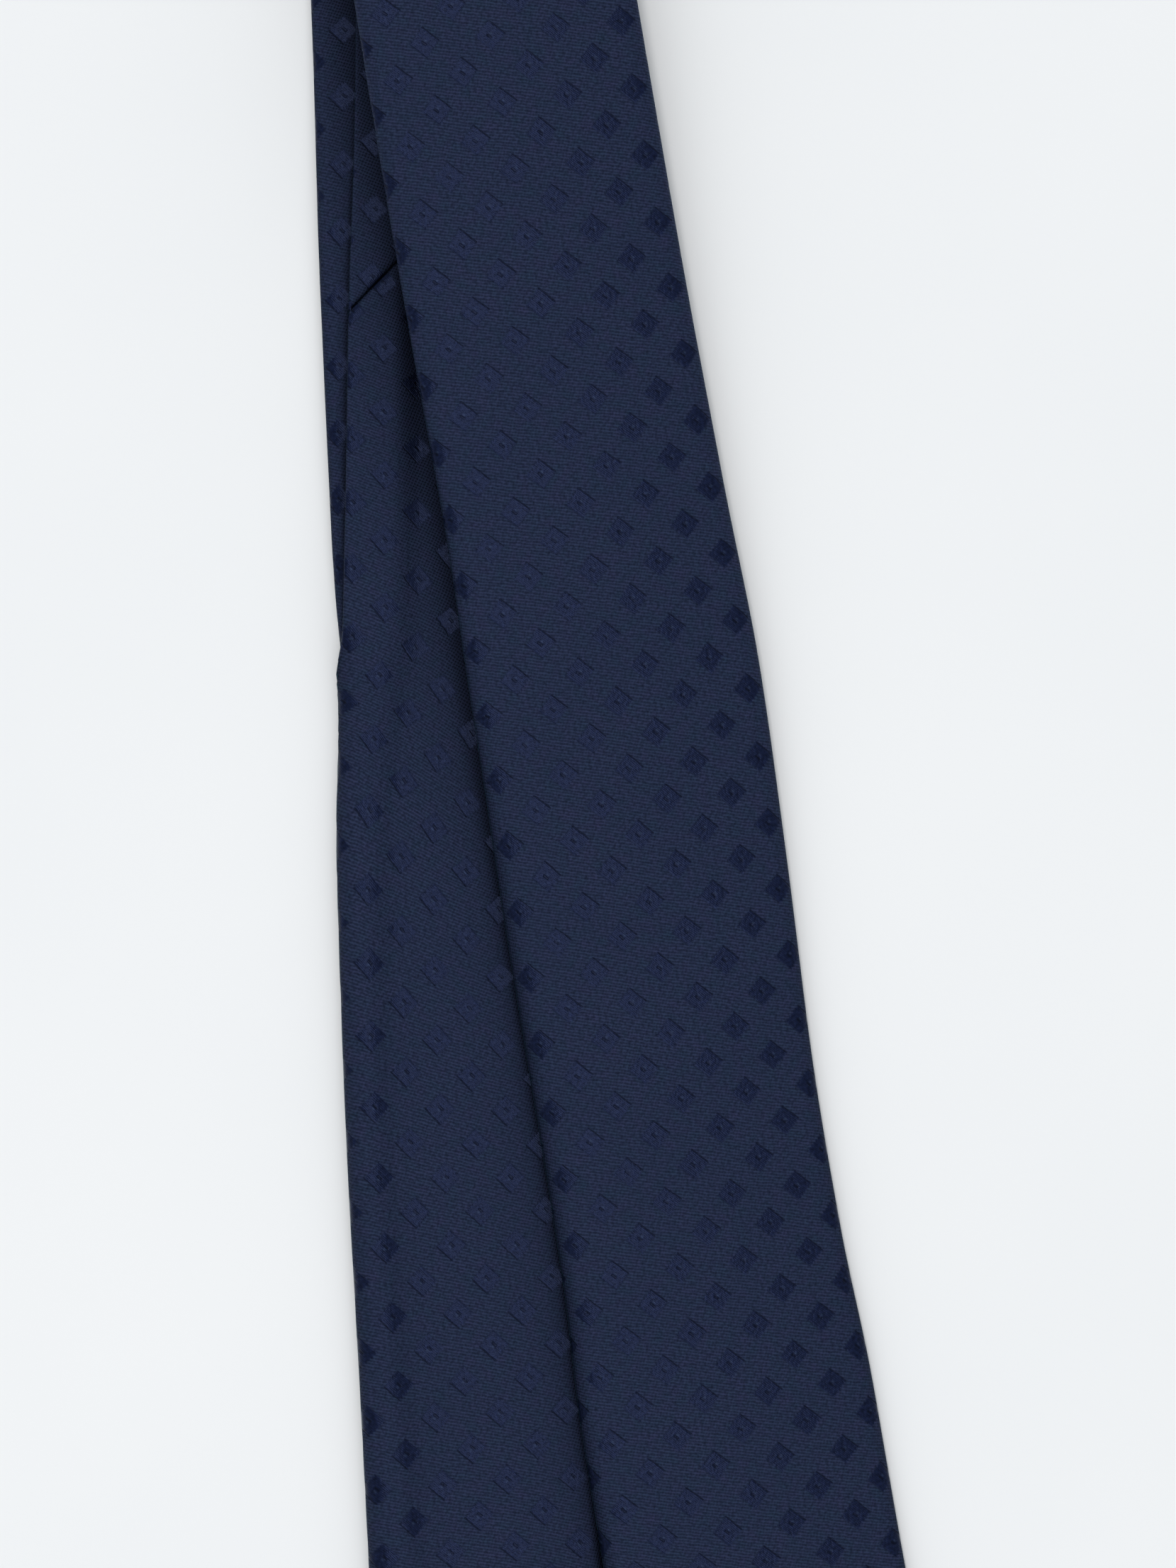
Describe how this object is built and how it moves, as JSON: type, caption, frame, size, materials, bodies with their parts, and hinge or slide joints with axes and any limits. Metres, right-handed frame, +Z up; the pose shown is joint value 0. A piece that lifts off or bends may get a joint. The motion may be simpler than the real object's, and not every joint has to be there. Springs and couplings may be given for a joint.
{
  "type": "necktie",
  "caption": "Navy micro-patterned necktie lying flat, folded once at the neck, its wide pointed blade crossing over the narrow tail.",
  "frame": {"origin": "middle of the tie's outline, on the surface it lies on", "axes": "+Z up; +Y along the middle line between the two halves, towards the neck fold; the blade leans to +X and the tail to -X going away from the fold"},
  "size_m": [0.14, 0.7969, 0.0168],
  "materials": {
    "tie_silk": "navy jacquard silk twill with small woven diamonds, soft sheen",
    "interlining": "brushed wool interlining, matt",
    "tipping": "plain navy satin lining",
    "thread": "navy silk thread",
    "label": "blank woven satin label",
    "care_tag": "blank white nylon tape"
  },
  "bodies": {
    "tail": {"neck_shell_tail_side": "tie_silk", "neck_shell_fold": "tie_silk", "tail_shell_upper": "tie_silk", "tail_interlining_upper": "interlining", "neck_interlining_fold": "interlining", "tail_slip_stitches": "thread", "neck_tail_seam_stitches": "thread"},
    "tail_end": {"tail_shell_lower": "tie_silk", "tail_interlining_lower": "interlining", "tail_tipping": "tipping", "tail_end_slip_stitches": "thread", "tail_bar_tack": "thread", "care_tag_stitches": "thread"},
    "care_tag": {"care_tag": "care_tag"},
    "blade": {"neck_shell_blade_side": "tie_silk", "blade_shell_upper": "tie_silk", "blade_interlining_upper": "interlining", "blade_slip_stitches": "thread", "neck_blade_seam_stitches": "thread"},
    "blade_end": {"blade_shell_lower": "tie_silk", "blade_interlining_lower": "interlining", "blade_tipping": "tipping", "blade_end_slip_stitches": "thread", "blade_bar_tack": "thread", "keeper_loop": "tie_silk", "keeper_stitches": "thread", "label": "label", "label_stitches": "thread"}
  },
  "joints": [
    {"name": "neck_fold", "type": "hinge", "parent": "tail", "child": "blade", "pos_m": [-0.00903, 0.40104, 0.0084], "axis": [-1, 0, 0], "range_deg": [0, 180]},
    {"name": "blade_bend", "type": "hinge", "parent": "blade", "child": "blade_end", "pos_m": [0.02282, -0.15379, 0.00415], "axis": [-0.9983, -0.0584, 0], "range_deg": [0, 165]},
    {"name": "tail_bend", "type": "hinge", "parent": "tail", "child": "tail_end", "pos_m": [-0.04176, -0.16892, 0.0032], "axis": [-0.9983, 0.0584, 0], "range_deg": [0, 150]},
    {"name": "care_tag_flip", "type": "hinge", "parent": "tail_end", "child": "care_tag", "pos_m": [-0.03869, -0.21918, 0.0036], "axis": [-0.9983, 0.0584, 0], "range_deg": [0, 165]}
  ]
}
